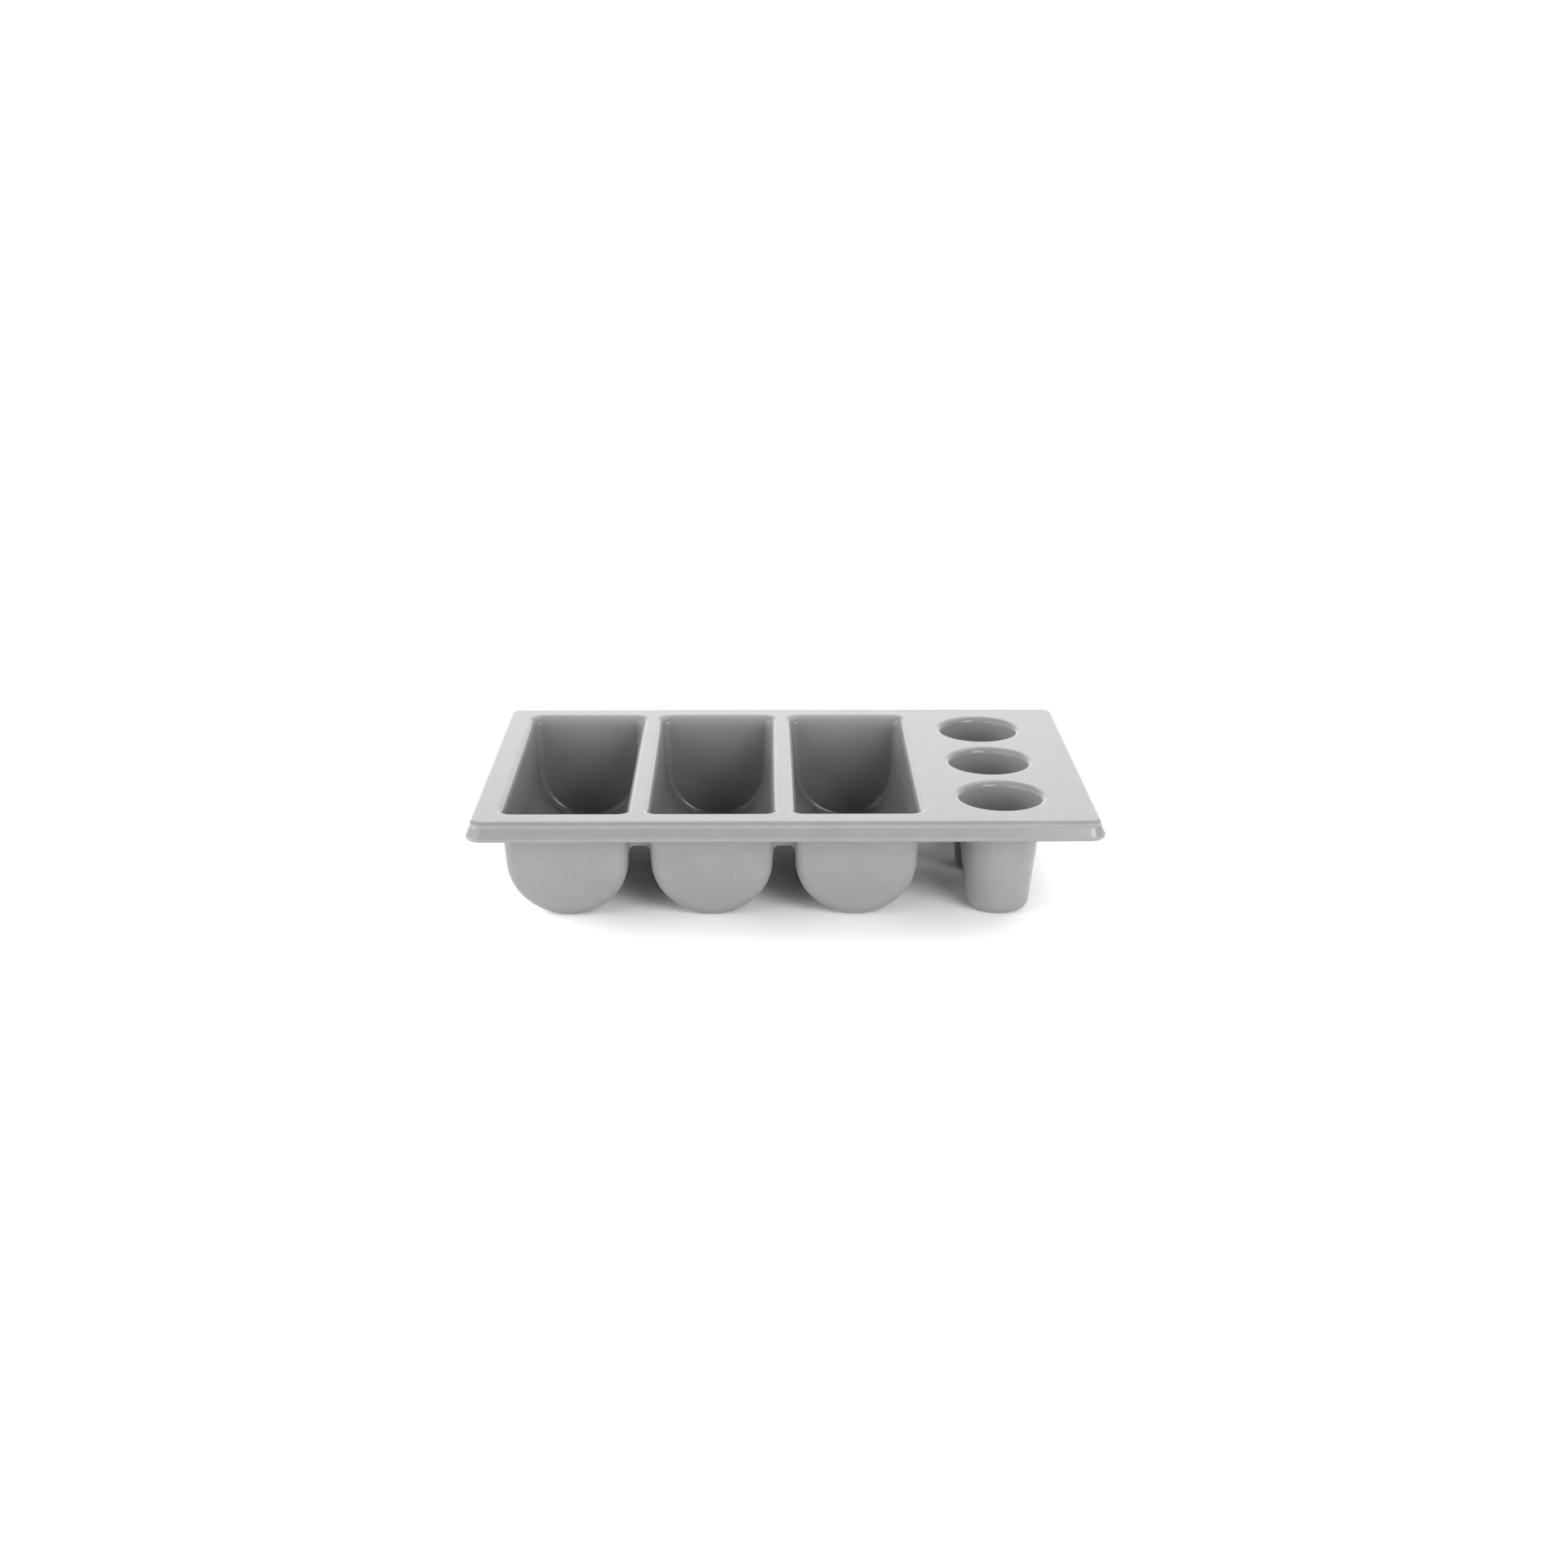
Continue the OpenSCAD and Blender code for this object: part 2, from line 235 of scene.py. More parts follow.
class Skin:
    """A surface that grows patch by patch. Equal points are welded, and every corner of a face
    keeps the true direction of the shape there."""

    def __init__(self):
        self.points = []
        self.places = {}
        self.faces = []
        self.directions = []

    def place(self, point):
        """Number of the vertex at a point."""
        key = tuple(float(c) for c in np.round(point, WELD_DIGITS) + 0.0)
        if key not in self.places:
            self.places[key] = len(self.points)
            self.points.append(key)
        return self.places[key]

    def face(self, points, directions):
        """One face that looks the way its corners do. Corners that fall together are one."""
        corners = {}
        for point, direction in zip(points, directions):
            corners.setdefault(self.place(point), direction)
        if len(corners) < 3:
            return
        ring = np.array([self.points[i] for i in corners])
        facing = np.cross(ring, np.roll(ring, -1, axis=0)).sum(axis=0)
        order = list(corners.items())
        if facing @ np.sum(list(corners.values()), axis=0) < 0:
            order.reverse()
        self.faces.append([i for i, _ in order])
        self.directions.extend(tuple(d) for _, d in order)

    def patch(self, rows, directions, closed=False):
        """Four-sided faces between rows of equally many points."""
        count = len(rows[0])
        for i in range(len(rows) - 1):
            for j in range(count if closed else count - 1):
                corners = ((i, j), (i, (j + 1) % count), (i + 1, (j + 1) % count), (i + 1, j))
                self.face([rows[a][b] for a, b in corners], [directions[a][b] for a, b in corners])

    def sheet(self, outline, direction):
        """One flat face."""
        self.face(outline, [direction] * len(outline))

    def piece(self, node, finish):
        """The surface as an object that rides with the tray and stands for a solid."""
        mesh = bpy.data.meshes.new(node)
        mesh.from_pydata(self.points, [], self.faces)
        mesh.polygons.foreach_set("use_smooth", [True] * len(mesh.polygons))
        mesh.normals_split_custom_set(self.directions)
        mesh.materials.append(finish)
        if mesh.validate():
            raise RuntimeError(f"the mesh of {node} isn't sound")
        shell = bpy.data.objects.new(f"{node}_shell", mesh)
        bpy.context.scene.collection.objects.link(shell)
        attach(shell, BODY)
        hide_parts(node)
        return shell


def arc(centre, radius, start, end, steps, outward=1.0):
    """Points of an arc in a section, each with its direction. Angles in radians."""
    turns = np.linspace(start, end, steps + 1)
    round_ = np.stack((np.cos(turns), np.sin(turns)), axis=1)
    return [(np.asarray(centre) + radius * r, outward * r) for r in round_]


def rim_section(p):
    """Section of the rim in runs of points with directions: x out from the crease, y up from
    the deck. The first run is the outside, the second the underside."""
    right = math.pi / 2
    bead = np.array((p.rim_reach - p.rim_bead, p.rim_bead - p.rim_drop))
    to_bead = bead - (p.rim_round, -p.rim_neck)
    slope = math.atan2(to_bead[1], to_bead[0]) + math.asin(p.rim_bead / np.linalg.norm(to_bead))
    turn = slope + right
    half = p.rim_hollow * math.tan(turn / 2)
    hollow = (p.rim_round + p.rim_hollow, half - p.rim_neck)
    top = (0.0, -p.rim_round)
    outside = [(np.array((-p.strip, 0.0)), np.array((0.0, 1.0)))]
    outside += arc(top, p.rim_round, right, 0.0, ARC_STEPS)
    outside += arc(hollow, p.rim_hollow, math.pi, math.pi + turn, EDGE_STEPS, -1.0)
    outside += arc(bead, p.rim_bead, turn, -right, ARC_STEPS)
    foot = np.array((p.rim_reach - p.rim_foot, -p.rim_drop))
    outside.append((foot, np.array((0.0, -1.0))))
    knee = np.array((p.rim_round - p.wall, -p.rim_neck))
    rise = knee - foot
    inward = unit(np.array((-rise[1], rise[0])))
    underside = [(foot, inward), (knee, unit(inward + (-1.0, 0.0)))]
    underside += arc(top, p.rim_round - p.wall, 0.0, right, ARC_STEPS, -1.0)
    underside.append((np.array((-p.strip, -p.wall)), np.array((0.0, -1.0))))
    return [outside, underside]


def swept(skin, runs, stations, height, closed=False):
    """Sweeps a section along stations. A station is the place of the section's own origin and
    the level direction in which its x points."""
    for run in runs:
        rows = [[np.array((*(base + q[0] * out), height + q[1])) for q, _ in run]
                for base, out in stations]
        ways = [[np.array((*(n[0] * out), n[1])) for _, n in run] for _, out in stations]
        if closed:
            rows.append(rows[0])
            ways.append(ways[0])
        skin.patch(rows, ways)


def section_ring(runs, station, height):
    """Closed outline of a section at a station."""
    base, out = station
    return [np.array((*(base + q[0] * out), height + q[1])) for run in runs for q, _ in run]


def joint_edge(p):
    """The upright edge along which rim or lip meets the deck."""
    back = np.array((-1.0, 0.0))
    return [(np.array((-p.strip, -p.wall)), back), (np.array((-p.strip, 0.0)), back)]


def rim_rail(p, node, finish, crease, run, facing):
    """A straight length of the rim. facing is the way out of the tray."""
    out = np.array(facing, float)
    along = np.array((-out[1], out[0]))
    stations = [(crease * out - run * along, out), (crease * out + run * along, out)]
    rim_piece(p, node, finish, stations)


def corner_stations(p, side_x, side_y):
    """Stations round a corner of the rim, against the clock."""
    start = math.atan2(side_y, side_x) - math.pi / 4
    centre = np.array((side_x * p.rail_x, side_y * p.rail_y))
    turns = np.linspace(start, start + math.pi / 2, CORNER_STEPS + 1)
    outs = np.stack((np.cos(turns), np.sin(turns)), axis=1)
    return [(centre + p.crease_radius * out, out) for out in outs]


def rim_piece(p, node, finish, stations):
    """A length of the rim through its stations, closed at both ends."""
    skin = Skin()
    runs = rim_section(p)
    swept(skin, runs + [joint_edge(p)], stations, p.height)
    for station, side in ((stations[0], 1.0), (stations[-1], -1.0)):
        out = station[1]
        skin.sheet(section_ring(runs, station, p.height), side * np.array((out[1], -out[0], 0.0)))
    skin.piece(node, finish)


CORNERS = {
    "front_left_corner": (-1, -1),
    "front_right_corner": (1, -1),
    "rear_right_corner": (1, 1),
    "rear_left_corner": (-1, 1),
}
TROUGHS = ("left_trough", "centre_trough", "right_trough")
CUPS = ("front_cup", "middle_cup", "rear_cup")


def whole_loop(quarter, directions):
    """A closed level outline and its directions from the quarter in +X and +Y."""
    loop, ways = [], []
    for sx, sy, back in ((1, 1, False), (-1, 1, True), (-1, -1, False), (1, -1, True)):
        flip = np.array((sx, sy, 1.0))
        step = -1 if back else 1
        loop.append(quarter[::step] * flip)
        ways.append(directions[::step] * flip)
    return np.concatenate(loop), np.concatenate(ways)


def box_quarter(half_x, half_y, radius, z):
    """A quarter of a rounded rectangle."""
    a = np.linspace(0.0, math.pi / 2, CORNER_STEPS + 1)
    return np.stack((
        half_x - radius * (1 - np.cos(a)),
        half_y - radius * (1 - np.sin(a)),
        np.full_like(a, z),
    ), axis=1)


def mouth_edge(p, z):
    """Outline of the flat strip round a trough's mouth, about the trough's own middle."""
    quarter = box_quarter(
        p.mouth_x + p.strip, p.mouth_y + p.strip, p.mouth_radius + p.strip, z
    )
    return whole_loop(quarter, np.tile(-UP, (len(quarter), 1)))


def lip_quarter(p, turn, skin):
    """A quarter of the rolled lip at a turn from the deck, with directions out of the hollow."""
    a = np.linspace(0.0, math.pi / 2, CORNER_STEPS + 1)
    side, end, drop = p.lip_side - skin, p.lip_end - skin, p.lip_drop - skin
    shrink = p.mouth_radius - p.edge_radius - skin
    sin, cos = math.sin(turn), math.cos(turn)
    radius = p.mouth_radius - shrink * sin
    points = box_quarter(
        p.mouth_x - side * sin, p.mouth_y - end * sin, radius,
        p.height - p.lip_drop + drop * cos,
    )
    along = np.stack((-np.sin(a), np.cos(a), np.zeros_like(a)), axis=1)
    down = np.stack((
        -side * cos + shrink * cos * (1 - np.cos(a)),
        -end * cos + shrink * cos * (1 - np.sin(a)),
        np.full_like(a, -drop * sin),
    ), axis=1)
    return points, unit(np.cross(down, along))


def bottom_quarter(p, turn, skin):
    """A quarter of the round bottom at a turn from level, with directions out of the hollow."""
    radius, edge = p.bottom_radius + skin, p.edge_radius + skin
    depth = radius * math.sin(turn)
    z = p.bottom_axis - depth
    lean = math.tan(p.end_draft)
    half_y = p.wall_top_y - (p.lip_foot - z) * lean + skin / math.cos(p.end_draft)
    reach = math.pi / 2
    if depth > radius - edge:
        reach = math.acos((depth - radius + edge) / edge)
    a = np.linspace(0.0, reach, CORNER_STEPS + 1)
    rho = radius - edge * (1 - np.cos(a))
    x = np.sqrt(np.maximum(rho * rho - depth * depth, 0.0))
    points = np.stack((x, half_y - edge * (1 - np.sin(a)), np.full_like(a, z)), axis=1)
    ways = np.stack((
        np.cos(a) * x / rho, np.sin(a), -np.cos(a) * depth / rho - lean * np.sin(a)
    ), axis=1)
    return points, unit(ways)


def trough_rows(p, skin):
    """Loops of one skin of a trough, from the deck to the bottom, with their directions."""
    rows = [mouth_edge(p, p.height - skin)]
    lips = [lip_quarter(p, p.lip_turn * k / LIP_STEPS, skin) for k in range(LIP_STEPS + 1)]
    last = math.asin((p.bottom_axis - p.wall + skin) / (p.bottom_radius + skin))
    turns = np.linspace(p.side_draft, last, BOTTOM_STEPS + 1)
    bottoms = [bottom_quarter(p, t, skin) for t in turns]
    # The lip runs into the wall in a narrow band
    foot, start = lips[-1], bottoms[0]
    below = foot[0] + LIP_BLEND * (start[0] - foot[0])
    lips[-1] = (foot[0], unit(foot[1] + start[1]))
    lips.append((below, start[1]))
    rows += [whole_loop(*q) for q in lips + bottoms]
    return rows


def trough_piece(p, node, finish, index):
    """A trough with its rolled lip, inside and outside."""
    skin = Skin()
    middle = np.array((p.left_x + index * p.pitch, 0.0, 0.0))
    edges = []
    for thickness, side in ((0.0, -1.0), (p.wall, 1.0)):
        rows = trough_rows(p, thickness)
        loops = [middle + loop for loop, _ in rows]
        ways = [side * way for _, way in rows]
        ways[0] = np.tile(-side * UP, (len(loops[0]), 1))
        skin.patch(loops, ways, closed=True)
        skin.sheet(loops[-1], -side * UP)
        edges.append(loops[0])
    outward = unit((edges[0] - middle) * (1.0, 1.0, 0.0))
    skin.patch(edges, [outward, outward], closed=True)
    skin.piece(node, finish)


def cup_section(p):
    """Section of a cup in runs: x out from the cup's axis, y up from the standing plane."""
    right = math.pi / 2
    lip = np.array((p.cup_mouth, p.height - p.cup_lip))
    lean = np.array((-math.cos(p.cup_draft), math.sin(p.cup_draft)))
    runs = []
    for skin, side in ((0.0, 1.0), (p.wall, -1.0)):
        radius = p.cup_lip - skin
        floor = p.wall - skin
        edge = p.cup_round - p.wall + skin
        top = lip + radius * lean
        drop = top[1] - floor - edge
        centre = np.array((
            top[0] - drop * math.tan(p.cup_draft) - edge / math.cos(p.cup_draft), floor + edge
        ))
        run = [(np.array((p.cup_mouth + p.strip, p.height - skin)), np.array((0.0, side)))]
        run += arc(lip, radius, right, math.pi - p.cup_draft, ARC_STEPS, side)
        run += arc(centre, edge, -p.cup_draft, -right, ARC_STEPS, -side)
        run.append((np.array((0.0, floor)), np.array((0.0, side))))
        runs.append(run)
    out = np.array((1.0, 0.0))
    rim = p.cup_mouth + p.strip
    runs.append([(np.array((rim, p.height)), out), (np.array((rim, p.height - p.wall)), out)])
    return runs


def cup_stations(p, index):
    """Stations round a cup."""
    turns = np.linspace(0.0, 2 * math.pi, ROUND_STEPS, endpoint=False)
    centre = np.array((p.cup_x, (index - 1) * p.cup_pitch))
    return [(centre, np.array((math.cos(t), math.sin(t)))) for t in turns]


def cup_piece(p, node, finish, index):
    """A tapered cup with its rolled lip."""
    skin = Skin()
    swept(skin, cup_section(p), cup_stations(p, index), 0.0, closed=True)
    skin.piece(node, finish)


def deck_loops(p):
    """Outer edge of the deck and its six mouths, on the deck."""
    outer = [
        np.array((*(base - p.strip * out), p.height))
        for sides in CORNERS.values()
        for base, out in corner_stations(p, *sides)
    ]
    loops = [outer]
    for i in range(len(TROUGHS)):
        loop, _ = mouth_edge(p, p.height)
        loops.append(list(loop + (p.left_x + i * p.pitch, 0.0, 0.0)))
    for i in range(len(CUPS)):
        rim = p.cup_mouth + p.strip
        loops.append([np.array((*(c + rim * out), p.height)) for c, out in cup_stations(p, i)])
    return loops


def deck_piece(p, node, finish):
    """The flat deck with its six mouths."""
    loops = deck_loops(p)
    flat = bmesh.new()
    for loop in loops:
        corners = [flat.verts.new(point) for point in loop]
        for a, b in zip(corners, corners[1:] + corners[:1]):
            flat.edges.new((a, b))
    bmesh.ops.triangle_fill(flat, use_beauty=True, edges=flat.edges[:], normal=UP)
    skin = Skin()
    for face in flat.faces:
        ring = [np.array(v.co) for v in face.verts]
        skin.sheet(ring, UP)
        skin.sheet([q - p.wall * UP for q in ring], -UP)
    flat.free()
    for number, loop in enumerate(loops):
        # Single precision, as in the filled deck, so that the points weld
        top = np.array([np.array(Vector(q)) for q in loop])
        middle = top.mean(axis=0)
        side = unit((top - middle) * (1.0, 1.0, 0.0)) * (1.0 if number == 0 else -1.0)
        skin.patch([top, top - p.wall * UP], [side, side], closed=True)
    skin.piece(node, finish)


def web_plan(p):
    """Half outline of a web beside the troughs, and the edge of its arch as points, directions
    into the web and radii: x across the gap, y up."""
    outer = p.bottom_radius + p.wall
    wall_foot = np.array((
        p.pitch / 2 - outer * math.cos(p.side_draft),
        p.bottom_axis - outer * math.sin(p.side_draft),
    ))
    crown = p.height - p.arch_drop
    foot = crown - p.arch_round
    side = []
    for k in range(LIP_STEPS + 1):
        points, _ = lip_quarter(p, p.lip_turn * k / LIP_STEPS, p.wall)
        side.append(np.array((p.pitch / 2 - points[0][0], points[0][2])))
    top = side[-1]
    share = (top[1] - foot) / (top[1] - wall_foot[1])
    side.append(top + share * (wall_foot - top))
    centre = (side[-1][0] - p.web_leg - p.arch_round, foot)
    lean = (top[0] - side[-1][0]) / (top[1] - foot)
    arch = []
    for q, n in arc(centre, p.arch_round, 0.0, math.pi / 2, ARC_STEPS):
        # The rounded edge gets finer where the web runs out
        room = side[-1][0] + lean * (q[1] - foot) - q[0]
        arch.append((q, n, min(p.web_edge, room)))
    arch += [(q * MIRROR, n * MIRROR, edge) for q, n, edge in reversed(arch)]
    return side, arch


def web_piece(p, node, finish, index, front):
    """An arched tie web between two troughs. front is 1 at the front and -1 at the rear."""
    side, arch = web_plan(p)
    skin = Skin()
    foot = side[-1][1]
    end = p.wall_top_y - (p.lip_foot - foot) * math.tan(p.end_draft)
    end += p.wall / math.cos(p.end_draft)
    face_y = -front * (end - p.edge_radius - p.wall - p.web_recess)
    middle = p.left_x + (index + 0.5) * p.pitch
    inward = np.array((0.0, front, 0.0))

    def at(q, depth):
        return np.array((middle + q[0], face_y + front * depth, q[1]))

    def level(n):
        return np.array((n[0], 0.0, n[1]))

    rim = [*reversed(side), *(q * MIRROR for q in side)]
    # Rounded edge of the arch, from the front of the web to its back
    back = p.web_wall
    turns = np.linspace(0.0, math.pi / 2, EDGE_STEPS + 1)
    rows, ways = [], []
    for base, sign, order in ((0.0, 1.0, turns), (back, -1.0, turns[::-1])):
        for turn in order:
            inset, sink = 1 - math.sin(turn), sign * (1 - math.cos(turn))
            rows.append([at(q + inset * edge * n, base + sink * edge) for q, n, edge in arch])
            face = sign * math.cos(turn) * inward
            ways.append([-math.sin(turn) * level(n) - face for _, n, _ in arch])
    skin.patch(rows, ways)
    skin.sheet([at(q, 0.0) for q in rim] + rows[0][::-1], -inward)
    skin.sheet([at(q, back) for q in rim] + rows[-1][::-1], inward)
    sides = [[at(q, 0.0) for q in rim], [at(q, back) for q in rim]]
    tangents = np.gradient(np.array(rim), axis=0)
    outs = [level(unit(np.array((t[1], -t[0])))) for t in tangents]
    skin.patch(sides, [outs, outs])
    for q, column in ((side[-1], 0), (side[-1] * MIRROR, -1)):
        ring = [at(q, 0.0), at(q, back)] + [row[column] for row in reversed(rows)]
        skin.sheet(ring, -UP)
    skin.piece(node, finish)


# Sockets of the colour mix node
MIX_SHARE, MIX_FIRST, MIX_SECOND, MIX_RESULT = 0, 6, 7, 2


class Nodes:
    """Short way to fill the emptied node tree of a material or a world."""

    def __init__(self, owner):
        owner.use_nodes = True
        self.tree = owner.node_tree
        self.tree.nodes.clear()

    def add(self, kind, **sockets):
        """A node with its inputs set or linked. Names use _ for a space."""
        node = self.tree.nodes.new(kind)
        for name, value in sockets.items():
            self.put(node, name.replace("_", " "), value)
        return node

    def put(self, node, name, value):
        """Sets an input, or links it to another node's output."""
        if isinstance(value, bpy.types.NodeSocket):
            self.tree.links.new(value, node.inputs[name])
        else:
            node.inputs[name].default_value = value

    def stretch(self, vector, scale):
        """Coordinates scaled along X, Y and Z."""
        return self.add("ShaderNodeMapping", Vector=vector, Scale=scale).outputs["Vector"]

    def band(self, value, low, high, start, end):
        """A value mapped from low..high to start..end, kept within them."""
        node = self.add("ShaderNodeMapRange", Value=value, From_Min=low, From_Max=high,
                        To_Min=start, To_Max=end)
        return node.outputs["Result"]

    def math(self, operation, *values, kind="ShaderNodeMath"):
        """Values joined by an operation."""
        node = self.add(kind)
        node.operation = operation
        for slot, value in enumerate(values):
            self.put(node, slot, value)
        return node.outputs["Value"]

    def dot(self, vector, fixed):
        """Dot product with a fixed vector."""
        return self.math("DOT_PRODUCT", vector, fixed, kind="ShaderNodeVectorMath")

    def blend(self, share, first, second):
        """A mix of two colours."""
        node = self.add("ShaderNodeMix")
        node.data_type = "RGBA"
        self.put(node, MIX_SHARE, share)
        for slot, value in ((MIX_FIRST, first), (MIX_SECOND, second)):
            fixed = not isinstance(value, bpy.types.NodeSocket)
            self.put(node, slot, (*value, 1.0) if fixed else value)
        return node.outputs[MIX_RESULT]


# Patterns of the plastic, with their scale to a metre, and the part of each that shows
CLOUDS = dict(Scale=34.0, Detail=4.0, Roughness=0.6)
CLOUD_BAND = (0.38, 0.66)
SCUFFS = dict(Scale=1.0, Detail=5.0, Roughness=0.65)
SCUFF_BAND = (0.55, 0.74)
SCUFF_SHARE = 0.35
SPECKS = dict(Scale=46.0)
SPECK_BAND = (0.022, 0.034)
SPECK_SHARE = 0.5
RIPPLES = dict(Scale=22.0, Detail=1.0)
GRAIN = dict(Scale=1500.0, Detail=2.0)
PLASTIC_IOR = 1.49


def tray_plastic(name, looks, drag):
    """Satin moulded plastic: pale clouds, faint scuffs along drag, stray specks, a fine mould
    grain and slow ripples in the wall."""
    material = bpy.data.materials.new(name)
    n = Nodes(material)
    place = n.add("ShaderNodeTexCoord").outputs["Object"]
    clouds = n.add("ShaderNodeTexNoise", Vector=place, **CLOUDS)
    cloud = n.band(clouds.outputs["Fac"], *CLOUD_BAND, 0.0, 1.0)
    scuffs = n.add("ShaderNodeTexNoise", Vector=n.stretch(place, drag), **SCUFFS)
    scuff = n.band(scuffs.outputs["Fac"], *SCUFF_BAND, 0.0, 1.0)
    specks = n.add("ShaderNodeTexVoronoi", Vector=place, **SPECKS)
    speck = n.band(specks.outputs["Distance"], *SPECK_BAND, SPECK_SHARE, 0.0)
    base = n.blend(cloud, looks.grey, looks.pale)
    base = n.blend(n.band(scuff, 0.0, 1.0, 0.0, SCUFF_SHARE), base, looks.pale)
    base = n.blend(speck, base, looks.speck)
    gloss = n.band(scuff, 0.0, 1.0, looks.gloss_low, looks.gloss_high)
    ripple = n.add("ShaderNodeTexNoise", Vector=place, **RIPPLES)
    grain = n.add("ShaderNodeTexNoise", Vector=place, **GRAIN)
    slow = n.add("ShaderNodeBump", Strength=1.0, Distance=looks.ripple,
                 Height=ripple.outputs["Fac"])
    fine = n.add("ShaderNodeBump", Strength=1.0, Distance=looks.grain,
                 Height=grain.outputs["Fac"], Normal=slow.outputs["Normal"])
    shader = n.add("ShaderNodeBsdfPrincipled", Base_Color=base, Roughness=gloss,
                   Normal=fine.outputs["Normal"], IOR=PLASTIC_IOR)
    n.add("ShaderNodeOutputMaterial", Surface=shader.outputs["BSDF"])
    return material


# Directions of the faint scuffs, as streaks to a metre along X, Y and Z
DRAGS = {
    "deck": (25.0, 420.0, 300.0),
    "rim": (25.0, 380.0, 380.0),
    "trough": (420.0, 25.0, 120.0),
    "cup": (160.0, 160.0, 30.0),
    "web": (300.0, 300.0, 60.0),
}


class PieceOperator:
    """What the operators of the pieces share."""

    bl_options = {"REGISTER"}

    def execute(self, context):
        """Builds the pieces."""
        scene = context.scene
        finish = tray_plastic(f"{self.region} plastic", scene.tray_plastic, DRAGS[self.region])
        self.build(plan(scene.tray_sizes), finish)
        return {"FINISHED"}


class TRAY_OT_deck(PieceOperator, bpy.types.Operator):
    """Builds the flat deck with its mouths"""

    bl_idname = "tray.deck"
    bl_label = "Deck"
    region = "deck"

    def build(self, p, finish):
        deck_piece(p, "deck_panel", finish)


class TRAY_OT_rim(PieceOperator, bpy.types.Operator):
    """Builds the turned-down rim, its straight lengths and its corners"""

    bl_idname = "tray.rim"
    bl_label = "Rim"
    region = "rim"

    def build(self, p, finish):
        rim_rail(p, "front_rim", finish, p.crease_y, p.rail_x, (0, -1))
        rim_rail(p, "rear_rim", finish, p.crease_y, p.rail_x, (0, 1))
        rim_rail(p, "left_rim", finish, p.crease_x, p.rail_y, (-1, 0))
        rim_rail(p, "right_rim", finish, p.crease_x, p.rail_y, (1, 0))
        for node, sides in CORNERS.items():
            rim_piece(p, node, finish, corner_stations(p, *sides))


class TRAY_OT_troughs(PieceOperator, bpy.types.Operator):
    """Builds the long round-bottomed troughs"""

    bl_idname = "tray.troughs"
    bl_label = "Troughs"
    region = "trough"

    def build(self, p, finish):
        for index, node in enumerate(TROUGHS):
            trough_piece(p, node, finish, index)


class TRAY_OT_cups(PieceOperator, bpy.types.Operator):
    """Builds the tapered cups"""

    bl_idname = "tray.cups"
    bl_label = "Cups"
    region = "cup"

    def build(self, p, finish):
        for index, node in enumerate(CUPS):
            cup_piece(p, node, finish, index)


class TRAY_OT_webs(PieceOperator, bpy.types.Operator):
    """Builds the arched tie webs between the troughs"""

    bl_idname = "tray.webs"
    bl_label = "Tie webs"
    region = "web"

    def build(self, p, finish):
        for end, front in (("front", 1), ("rear", -1)):
            for index, side in enumerate(("left", "right")):
                web_piece(p, f"{end}_{side}_web", finish, index, front)


# Tooth of the floor paper, and the roughness of its hollows and tips
TOOTH = dict(Scale=900.0, Detail=2.0)
TOOTH_BAND = (0.3, 0.7)
FLOOR_GLOSS = (0.75, 0.85)


def floor_sheet(studio):
    """A round sheet of pale paper under the box."""
    turns = np.linspace(0.0, 2 * math.pi, ROUND_STEPS, endpoint=False)
    ring = np.stack((np.cos(turns), np.sin(turns), np.zeros_like(turns)), axis=1)
    mesh = bpy.data.meshes.new("floor")
    mesh.from_pydata((studio.floor_reach * ring).tolist(), [], [range(ROUND_STEPS)])
    material = bpy.data.materials.new("floor paper")
    n = Nodes(material)
    place = n.add("ShaderNodeTexCoord").outputs["Object"]
    tooth = n.add("ShaderNodeTexNoise", Vector=place, **TOOTH)
    gloss = n.band(tooth.outputs["Fac"], *TOOTH_BAND, *FLOOR_GLOSS)
    fibre = n.band(tooth.outputs["Fac"], *TOOTH_BAND, 0.0, 1.0)
    shade = n.blend(fibre, studio.floor, studio.floor_pale)
    shader = n.add("ShaderNodeBsdfPrincipled", Base_Color=shade, Roughness=gloss)
    n.add("ShaderNodeOutputMaterial", Surface=shader.outputs["BSDF"])
    mesh.materials.append(material)
    floor = bpy.data.objects.new("floor", mesh)
    bpy.context.scene.collection.objects.link(floor)
    floor.location.z = CAD_LOW.z


# Soft boxes round the tray, at a distance in metres. Azimuth goes from the camera's side to the
# right, and width and rise are what the tray sees of the box, all in degrees. The plastic
# mirrors the key boxes, and the fill boxes only brighten it
BOX_FAR = 2.6
KEY_BOXES = {
    "key left": dict(azimuth=-71.0, height=4.0, width=28.0, rise=12.0, brightness=9.0),
    "key right": dict(azimuth=34.0, height=31.0, width=29.0, rise=16.0, brightness=8.2),
    "key front": dict(azimuth=-40.0, height=24.0, width=32.0, rise=40.0, brightness=1.3),
}
FILL_BOXES = {
    "fill left": dict(azimuth=-62.0, height=11.0, width=26.0, rise=22.0, brightness=5.1),
    "fill right": dict(azimuth=48.0, height=11.0, width=26.0, rise=22.0, brightness=9.6),
    "fill front": dict(azimuth=22.0, height=11.0, width=32.0, rise=22.0, brightness=5.0),
    "fill high": dict(azimuth=-90.0, height=34.0, width=50.0, rise=40.0, brightness=6.1),
    "fill rear": dict(azimuth=140.0, height=34.0, width=50.0, rise=40.0, brightness=2.4),
}
# Soft glows on the walls of the room, as wide as the power makes them
GLOW_POWER = 10.0
GLOWS = (
    dict(azimuth=180.0, height=32.0, brightness=1.1),
    dict(azimuth=135.0, height=58.0, brightness=2.6),
)
# Heights between which the backdrop and the pale horizon end, as sines
BACKDROP_TOP = (0.57, 0.61)
HORIZON_TOP = (0.05, 0.5)
